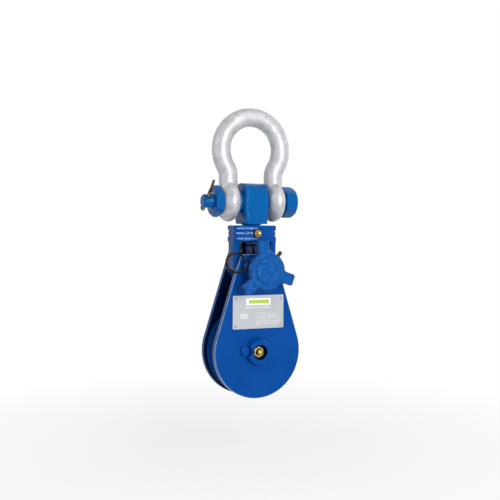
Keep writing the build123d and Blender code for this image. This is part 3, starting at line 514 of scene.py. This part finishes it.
def label_print(name, metal, bar):
    """Silver plate with a white header, a coloured bar and faint lines without words."""
    material, shader, place = new_material(name, roughness=0.36, metallic=0.35)
    parts = split(material, place)
    across = combine(material, "SUBTRACT", parts["X"], label_middle.x)
    up = combine(material, "SUBTRACT", parts["Z"], label_middle.z)
    brushed = noise(material, place, size=0.004, detail=5.0)
    tone = remap(material, brushed, 0.3, 0.7, 0.0, 0.25)
    base = blend_colours(material, tone, metal, tuple(channel * 0.86 for channel in metal))

    row = combine(material, "DIVIDE", up, label_row)
    rows = within(material, combine(material, "FRACT", row, 0.0), 0.5, 0.24)
    plane = add_node(material, "ShaderNodeCombineXYZ")
    join(material, across, plane.inputs["X"])
    join(material, combine(material, "FLOOR", row, 0.0), plane.inputs["Y"])
    dashes = remap(material, noise(material, plane.outputs["Vector"], size=0.0021, detail=0.0),
                   0.40, 0.46, 0.0, 1.0)
    strokes = remap(material, noise(material, place, size=0.0006, detail=0.0),
                    0.3, 0.6, 0.35, 1.0)

    lines = product(material, rows, dashes, strokes,
                    label_box(material, across, up, lines_box))
    underline = product(material, strokes, label_box(material, across, up, underline_box))
    patch = product(material, strokes, label_box(material, across, up, patch_box))
    marks = combine(material, "ADD", combine(material, "ADD", lines, underline), patch)
    printed = blend_colours(material, product(material, marks, 0.6), base, print_white)
    header = label_box(material, across, up, header_box)
    with_header = blend_colours(material, header, printed, header_white)
    stripe = label_box(material, across, up, stripe_box)
    finished = blend_colours(material, stripe, with_header, bar)
    join(material, finished, shader.inputs["Base Color"])
    add_bump(material, shader, brushed, depth=0.00003)
    return material


def worn_sheave(name, colour, shade):
    """Paint on the rim and web, and rope-polished metal in the bottom of the groove."""
    material, shader, place = new_material(name, roughness=0.4)
    parts = split(material, place)
    radius = off_axis(material, parts, sheave_middle.z)
    from_middle = combine(material, "ABSOLUTE", parts["Y"], 0.0)
    in_groove = product(material, combine(material, "LESS_THAN", from_middle, groove_half),
                        combine(material, "GREATER_THAN", radius, groove_floor))
    scuffs = remap(material, noise(material, place, size=0.004, detail=4.0),
                   0.42, 0.6, 0.0, 0.12)
    patches = remap(material, noise(material, place, size=0.02, detail=3.0),
                    0.35, 0.7, 0.0, 1.0)
    painted = blend_colours(material, patches, colour, shade)
    worn = blend_colours(material, product(material, in_groove, scuffs), painted,
                         rubbed_groove)
    join(material, worn, shader.inputs["Base Color"])
    add_bump(material, shader, noise(material, place, size=0.003, detail=3.0), depth=0.00012)
    set_gloss(shader, level=0.12, tint=enamel_tint)
    return material


def settle(piece, body, node_name, material):
    """Applies a piece's modifiers, gives it its finish and puts it in a node's place."""
    depsgraph = bpy.context.evaluated_depsgraph_get()
    shaped = bpy.data.meshes.new_from_object(piece.evaluated_get(depsgraph))
    piece.modifiers.clear()
    piece.data = shaped
    shaped.materials.clear()
    shaped.materials.append(material)
    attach(piece, body)
    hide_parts(node_name)


def joined_copy(node_name, name):
    """A copy of a solid as one closed mesh, with its flat faces whole again."""
    copy = bmesh.new()
    copy.from_mesh(nodes[node_name].data)
    bmesh.ops.remove_doubles(copy, verts=copy.verts, dist=merge_distance)
    bmesh.ops.dissolve_limit(copy, angle_limit=flat_angle, verts=copy.verts,
                             edges=copy.edges)
    mesh = bpy.data.meshes.new(name)
    copy.to_mesh(mesh)
    copy.free()
    piece = bpy.data.objects.new(name, mesh)
    bpy.context.scene.collection.objects.link(piece)
    return piece


def raise_boss(piece):
    """Lets the head of the axle, with its recess, stand further out of the plate."""
    for point in piece.data.vertices:
        depth = point.co.y - axle_front
        radius = (point.co.xz - sheave_middle.xz).length
        in_recess = radius < axle_recess + recess_margin and depth < recess_depth
        if depth < boss_front_depth or in_recess:
            point.co.y -= boss_rise


def rounded_piece(node_name, name, body, material, width, change=None):
    """A solid with all its sharp edges rounded, as thick paint leaves them."""
    piece = joined_copy(node_name, name)
    if change:
        change(piece)
    edges = piece.modifiers.new("Rounded edges", "BEVEL")
    edges.limit_method = "ANGLE"
    edges.angle_limit = rounded_from_angle
    edges.width = width
    edges.segments = 3
    edges.use_clamp_overlap = True
    settle(piece, body, node_name, material)
    piece.data.shade_smooth()
    piece.data.set_sharp_from_angle(angle=sharp_from_angle)


def moulded_piece(node_name, name, body, material, step, rounds, lumps=None):
    """A solid with one even skin whose corners flow, and lumps if it is a rough casting."""
    piece = joined_copy(node_name, name)
    skin = piece.modifiers.new("Even skin", "REMESH")
    skin.mode = "VOXEL"
    skin.voxel_size = step
    soften = piece.modifiers.new("Flowing corners", "SMOOTH")
    soften.factor = 0.6
    soften.iterations = rounds
    if lumps:
        texture, height = lumps
        grain = piece.modifiers.new("Casting lumps", "DISPLACE")
        grain.texture = texture
        grain.texture_coords = "LOCAL"
        grain.strength = height
        grain.mid_level = 0.5
    settle(piece, body, node_name, material)
    piece.data.shade_smooth()


def finish_node(node_name, material):
    """Gives a solid that is shown as it is its own finish."""
    solid = nodes[node_name]
    solid.data.materials.clear()
    solid.data.materials.append(material)


class OBJECT_OT_forge_bow(Operator):
    """Forge the shackle bow, with legs that flow into its eyes"""

    bl_idname = "object.block_forge_bow"
    bl_label = "Forge Bow"
    bl_options = {"REGISTER", "UNDO"}

    def execute(self, context):
        finish = context.scene.shackle_finish
        zinc = galvanised("Galvanised zinc", finish.zinc, finish.zinc_shade)
        moulded_piece("shackle_bow", "forged_bow", "shackle", zinc,
                      step=finish.forging_step, rounds=14)
        return {"FINISHED"}


class OBJECT_OT_paint_steelwork(Operator):
    """Round and paint the plates, head, crosshead, axle, sheave and fasteners"""

    bl_idname = "object.block_paint_steelwork"
    bl_label = "Paint Steelwork"
    bl_options = {"REGISTER", "UNDO"}

    def execute(self, context):
        paint = context.scene.block_paint
        enamel = gloss_paint("Blue enamel", paint.paint, paint.paint_shade, paint.gloss)
        # Plates: painted shade between them and painted highlights on their corners
        plates = gloss_paint("Blue enamel on plates", paint.paint, paint.paint_shade,
                             paint.gloss, between_plates, painted_highlight_mask=painted_corner_highlights)
        # Crosshead: painted shade in its window and nipple pocket, painted highlights on its
        # ribs
        casting = gloss_paint("Blue enamel on crosshead", paint.paint, paint.paint_shade,
                              paint.gloss, inside_crosshead, crosshead_painted_shade, painted_rib_highlights,
                              ripple=0.0003, level=0.12)
        # Axle: painted shade in the recess of its head
        axle_enamel = gloss_paint("Blue enamel on axle", paint.paint, paint.paint_shade,
                              paint.gloss, inside_axle, recess_painted_shade)
        # Nut and washer in the window: dark paint as painted shade
        deep = gloss_paint("Blue enamel in the window", window_shaded_paint, window_shaded_paint_dark,
                           roughness=0.13, ripple=0.0002, level=0.5, tint=window_tint)
        lighter = gloss_paint("Blue enamel on head and bolt", paint.head_paint, paint.paint,
                              paint.gloss)
        for node_name, name, body, material in (
                ("shackle_bolt", "painted_bolt", "shackle", lighter),
                ("shackle_nut", "painted_nut", "shackle", lighter),
                ("swivel_head", "painted_head", "head", lighter),
                ("rear_plate", "painted_rear_plate", "block", plates),
                ("crosshead_bolts", "painted_fixing_bolts", "block", enamel),
                ("thrust_washer", "painted_thrust_washer", "block", deep),
                ("swivel_nut", "painted_swivel_nut", "head", deep),
                ("front_plate", "painted_front_plate", "front", plates),
                ("axle_nut", "painted_axle_nut", "front", enamel),
                ("keeper_screw", "painted_keeper_screw", "front", enamel)):
            rounded_piece(node_name, name, body, material, paint.edge)
        rounded_piece("axle", "painted_axle", "front", axle_enamel, paint.edge,
                      raise_boss)
        moulded_piece("crosshead", "painted_crosshead", "block", casting,
                      step=0.0005, rounds=8)
        sheave_paint = worn_sheave("Worn blue enamel", paint.paint, paint.paint_shade)
        rounded_piece("sheave", "painted_sheave", "sheave", sheave_paint,
                      paint.edge)
        return {"FINISHED"}


class OBJECT_OT_cast_knob(Operator):
    """Cast the locking knob with a lumpy skin under its paint"""

    bl_idname = "object.block_cast_knob"
    bl_label = "Cast Knob"
    bl_options = {"REGISTER", "UNDO"}

    def execute(self, context):
        paint = context.scene.block_paint
        enamel = cast_paint("Blue enamel on casting", paint.knob_paint, paint.paint,
                            roughness=paint.gloss * 0.7)
        lumps = bpy.data.textures.new("Casting lumps", "CLOUDS")
        lumps.noise_scale = paint.cast_grain_size
        lumps.noise_depth = 2
        moulded_piece("locking_knob", "cast_knob", "knob", enamel,
                      step=0.0006, rounds=4, lumps=(lumps, paint.cast_grain))
        return {"FINISHED"}


class OBJECT_OT_finish_small_metal(Operator):
    """Finish the nipples, pins, washers, bush, pull ring and clamp screw"""

    bl_idname = "object.block_finish_small_metal"
    bl_label = "Finish Small Metal"
    bl_options = {"REGISTER", "UNDO"}

    def execute(self, context):
        finish = context.scene.shackle_finish
        paint = context.scene.block_paint
        brass = machined("Brass", finish.brass, roughness=0.28)
        wire = machined("Brassed wire", wire_brass, roughness=0.32, stain=0.35)
        steel = machined("Bare steel", bare_steel, roughness=0.35)
        bronze = machined("Bronze", bearing_bronze, roughness=0.38)
        black = machined("Blackened steel", black_steel, roughness=0.4)
        oxide = machined("Brown oxide", finish.oxide, roughness=0.26, stain=0.25)
        overspray = gloss_paint("Blue overspray", paint.paint_shade, overspray_shade,
                                roughness=0.4)
        for node_name, material in (
                ("cotter_pin", wire), ("crosshead_nipple", brass),
                ("swivel_nut_pin", steel), ("clamp_screw", steel),
                ("side_washer_front", bronze), ("side_washer_rear", bronze),
                ("sheave_bush", bronze), ("knob_roll_pin", black),
                ("lock_pin", overspray)):
            finish_node(node_name, material)
        nipple = joined_copy("axle_nipple", "brass_axle_nipple")
        for point in nipple.data.vertices:
            point.co.y -= boss_rise
        settle(nipple, "front", "axle_nipple", brass)
        ring = joined_copy("pull_ring", "oiled_pull_ring")
        film = ring.modifiers.new("Oxide film", "DISPLACE")
        film.strength = finish.ring_film
        film.mid_level = 0.0
        settle(ring, "pull_ring", "pull_ring", oxide)
        ring.data.shade_smooth()
        return {"FINISHED"}


class OBJECT_OT_print_label(Operator):
    """Print the name plate with plain generic marks, and finish its rivets"""

    bl_idname = "object.block_print_label"
    bl_label = "Print Label"
    bl_options = {"REGISTER", "UNDO"}

    def execute(self, context):
        finish = context.scene.shackle_finish
        finish_node("name_plate", label_print("Label print", finish.label, finish.label_bar))
        finish_node("name_plate_rivets", machined("Rivet metal", rivet_metal, roughness=0.35))
        return {"FINISHED"}


def plain_plane(name, half):
    """A level square plane of the given half width."""
    mesh = bpy.data.meshes.new(name)
    mesh.from_pydata([(-half, -half, 0.0), (half, -half, 0.0),
                      (half, half, 0.0), (-half, half, 0.0)], [], [(0, 1, 2, 3)])
    plane = bpy.data.objects.new(name, mesh)
    bpy.context.scene.collection.objects.link(plane)
    return plane


def soft_lamp(name, place, target, width, height, power):
    """Adds a rectangular lamp that faces a target."""
    data = bpy.data.lights.new(name, "AREA")
    data.shape = "RECTANGLE"
    data.size = width
    data.size_y = height
    data.energy = power
    lamp = bpy.data.objects.new(name, data)
    lamp.location = place
    lamp.rotation_euler = (target - place).to_track_quat("-Z", "Y").to_euler()
    bpy.context.scene.collection.objects.link(lamp)


def seen_directly(tree):
    """A value that is 1 for what the camera sees, also in metal and through glass."""
    path = tree.nodes.new("ShaderNodeLightPath")
    value = path.outputs["Is Camera Ray"]
    for name in ("Is Glossy Ray", "Is Transmission Ray"):
        larger = tree.nodes.new("ShaderNodeMath")
        larger.operation = "MAXIMUM"
        tree.links.new(value, larger.inputs[0])
        tree.links.new(path.outputs[name], larger.inputs[1])
        value = larger.outputs["Value"]
    return value


def show_instead(tree, share, own, shown):
    """Mixes in another shader, by a share of 0 to 1."""
    mix = tree.nodes.new("ShaderNodeMixShader")
    tree.links.new(share, mix.inputs["Fac"])
    tree.links.new(own, mix.inputs[1])
    tree.links.new(shown, mix.inputs[2])
    return mix.outputs["Shader"]


def white_floor(name, clear, far, near_white):
    """A white floor that keeps a soft shadow near the block and has no horizon."""
    material = bpy.data.materials.new(name)
    material.use_nodes = True
    tree = material.node_tree
    shader = tree.nodes["Principled BSDF"]
    shader.inputs["Base Color"].default_value = (0.9, 0.9, 0.9, 1.0)
    shader.inputs["Roughness"].default_value = 0.9
    shader.inputs["Specular IOR Level"].default_value = 0.0
    place = tree.nodes.new("ShaderNodeTexCoord").outputs["Object"]
    distance = tree.nodes.new("ShaderNodeVectorMath")
    distance.operation = "LENGTH"
    tree.links.new(place, distance.inputs[0])
    fade = tree.nodes.new("ShaderNodeMapRange")
    tree.links.new(distance.outputs["Value"], fade.inputs["Value"])
    fade.inputs["From Min"].default_value = clear
    fade.inputs["From Max"].default_value = far
    fade.inputs["To Min"].default_value = near_white
    share = tree.nodes.new("ShaderNodeMath")
    share.operation = "MULTIPLY"
    tree.links.new(fade.outputs["Result"], share.inputs[0])
    tree.links.new(seen_directly(tree), share.inputs[1])
    white = tree.nodes.new("ShaderNodeEmission")
    shown = show_instead(tree, share.outputs["Value"], shader.outputs["BSDF"],
                         white.outputs["Emission"])
    tree.links.new(shown, tree.nodes["Material Output"].inputs["Surface"])
    return material


class OBJECT_OT_set_stage(Operator):
    """Set up the pale floor, the lamps and the camera"""

    bl_idname = "object.block_set_stage"
    bl_label = "Set Stage"
    bl_options = {"REGISTER", "UNDO"}

    def execute(self, context):
        studio = context.scene.block_studio
        scene = context.scene
        scene.view_settings.view_transform = "Standard"

        toward = Vector((sin(studio.view_turn), cos(studio.view_turn), 0.0))
        right = Vector((cos(studio.view_turn), -sin(studio.view_turn), 0.0))
        eye = (Vector((0.0, 0.0, sheave_middle.z + studio.camera_height))
               - toward * studio.distance + right * studio.camera_side)
        data = bpy.data.cameras.new("Camera")
        data.sensor_width = sensor_width
        data.lens = studio.lens
        data.shift_x, data.shift_y = camera_shift
        camera = bpy.data.objects.new("Camera", data)
        camera.location = eye
        camera.rotation_euler = (radians(90), -studio.view_roll, -studio.view_turn)
        scene.collection.objects.link(camera)
        scene.camera = camera

        low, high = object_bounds()
        floor = plain_plane("floor", half=6.0)
        floor.location.z = low[2] - studio.floor_drop
        floor.data.materials.append(white_floor("Floor", clear=0.1, far=0.5, near_white=0.75))
        floor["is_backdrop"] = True

        world = scene.world or bpy.data.worlds.new("World")
        scene.world = world
        world.use_nodes = True
        tree = world.node_tree
        tree.nodes.clear()
        light = tree.nodes.new("ShaderNodeBackground")
        light.inputs["Color"].default_value = (0.95, 0.97, 1.0, 1.0)
        light.inputs["Strength"].default_value = studio.world_light
        white = tree.nodes.new("ShaderNodeBackground")
        white.inputs["Color"].default_value = (1.0, 1.0, 1.0, 1.0)
        output = tree.nodes.new("ShaderNodeOutputWorld")
        shown = show_instead(tree, seen_directly(tree), light.outputs["Background"],
                             white.outputs["Background"])
        tree.links.new(shown, output.inputs["Surface"])

        middle = Vector((0.0, 0.0, (low[2] + high[2]) / 2))
        for name, place, width, height, power in (
                ("Front lamp", (0.04, -1.25, 0.2), 0.22, 0.7, studio.key_power),
                ("Left lamp", (-1.2, -0.1, 0.4), 0.08, 0.6, studio.fill_power),
                ("Right lamp", (1.2, 0.1, 0.4), 0.08, 0.6, studio.fill_power),
                ("High lamp", (0.38, -0.75, 0.9), 0.26, 0.09, studio.glint_power)):
            soft_lamp(name, middle + Vector(place), middle, width, height, power)
        return {"FINISHED"}


class VIEW3D_PT_snatch_block(Panel):
    """Sizes, colours and steps of the snatch block"""

    bl_label = "Snatch Block"
    bl_idname = "VIEW3D_PT_snatch_block"
    bl_space_type = "VIEW_3D"
    bl_region_type = "UI"
    bl_category = "Snatch Block"

    def draw(self, context):
        layout = self.layout
        scene = context.scene
        for group in (scene.block_paint, scene.shackle_finish, scene.block_studio):
            box = layout.box()
            for name in group.__annotations__:
                box.prop(group, name)
        for step in operator_steps:
            layout.operator(step.bl_idname)


operator_steps = (
    OBJECT_OT_forge_bow,
    OBJECT_OT_paint_steelwork,
    OBJECT_OT_cast_knob,
    OBJECT_OT_finish_small_metal,
    OBJECT_OT_print_label,
    OBJECT_OT_set_stage,
)
classes = (BlockPaint, ShackleFinish, Studio, *operator_steps, VIEW3D_PT_snatch_block)


def register():
    """Registers the classes and gives the scene its settings."""
    for item in classes:
        bpy.utils.register_class(item)
    bpy.types.Scene.block_paint = PointerProperty(type=BlockPaint)
    bpy.types.Scene.shackle_finish = PointerProperty(type=ShackleFinish)
    bpy.types.Scene.block_studio = PointerProperty(type=Studio)


def unregister():
    """Removes the settings and the classes."""
    del bpy.types.Scene.block_studio
    del bpy.types.Scene.shackle_finish
    del bpy.types.Scene.block_paint
    for item in reversed(classes):
        bpy.utils.unregister_class(item)


def main():
    """Dresses the block."""
    register()
    bpy.ops.object.block_forge_bow()
    bpy.ops.object.block_paint_steelwork()
    bpy.ops.object.block_cast_knob()
    bpy.ops.object.block_finish_small_metal()
    bpy.ops.object.block_print_label()
    bpy.ops.object.block_set_stage()


if __name__ == "__main__":
    main()
